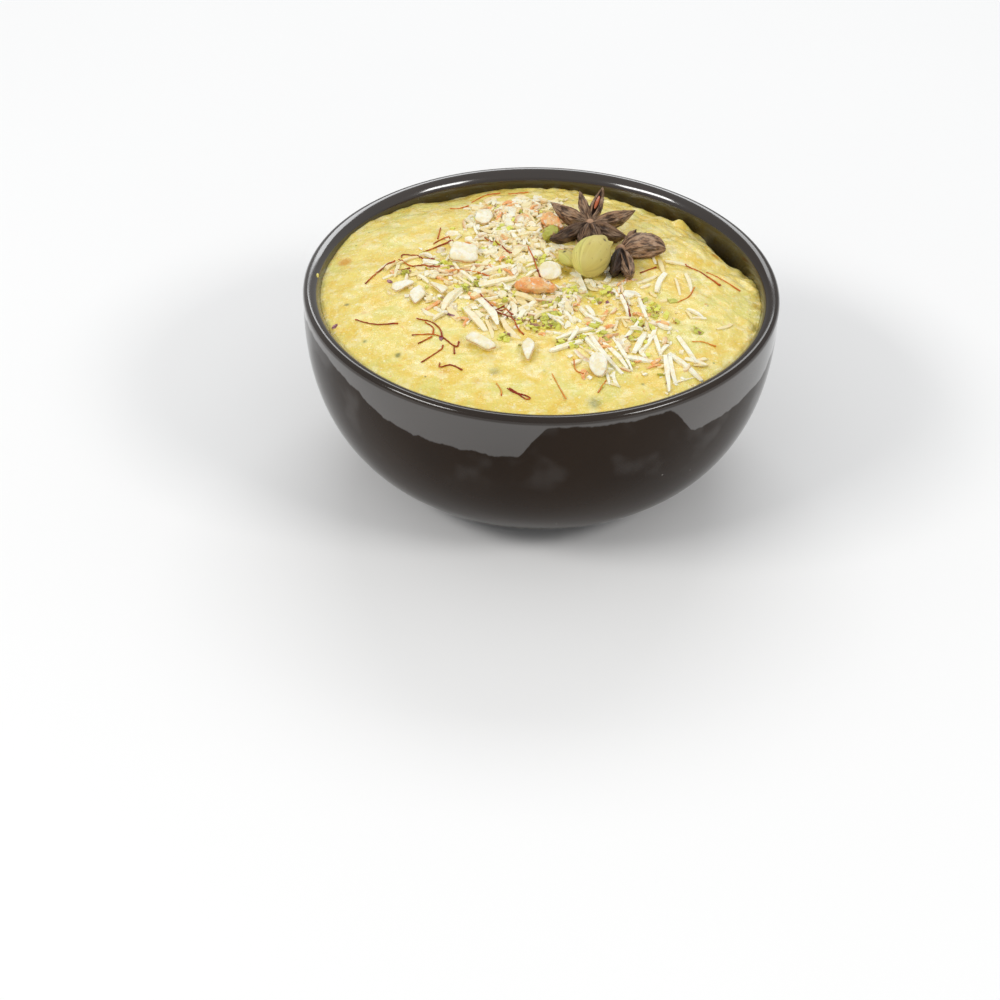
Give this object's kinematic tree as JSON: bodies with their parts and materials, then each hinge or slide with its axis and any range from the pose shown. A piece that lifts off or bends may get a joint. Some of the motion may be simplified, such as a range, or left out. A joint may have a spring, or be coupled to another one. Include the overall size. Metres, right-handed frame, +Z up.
{
  "type": "garlic halwa in a bowl",
  "caption": "Round black glazed bowl filled to the lip with thick pale yellow garlic halwa, heaped in the middle and topped with slivered nuts, saffron, cardamom and star anise.",
  "frame": {"origin": "on the table, under the middle of the bowl", "axes": "+Z up; +Y towards the far side of the bowl as it is shown, +X to the viewer's right"},
  "size_m": [0.156, 0.1556, 0.0815],
  "materials": {
    "black_glaze": "glossy black glaze over stoneware",
    "halwa_paste": "moist, slightly shiny grainy paste",
    "star_anise_brown": "dry dull woody husk",
    "cardamom_green": "dry papery husk with fine ribs",
    "pistachio_green": "oily cut nut",
    "almond_cream": "satin cut nut with a brown skin at its edge",
    "dried_fruit_orange": "moist translucent dried fruit"
  },
  "bodies": {
    "root": {"bowl": "black_glaze", "halwa": "halwa_paste", "star_anise_whole": "star_anise_brown", "star_anise_broken": "star_anise_brown", "cardamom_pod_large": "cardamom_green", "cardamom_pod_small": "cardamom_green", "pistachio_half": "pistachio_green", "cashew_slice": "almond_cream", "almond_slice_back": "almond_cream", "almond_round_back": "almond_cream", "almond_slice_curved": "almond_cream", "almond_slice_pointed": "almond_cream", "almond_round_front": "almond_cream", "almond_flake_left": "almond_cream", "almond_flake_far_left": "almond_cream", "almond_flake_middle": "almond_cream", "dried_fruit_back": "dried_fruit_orange", "dried_fruit_front": "dried_fruit_orange"}
  },
  "joints": []
}
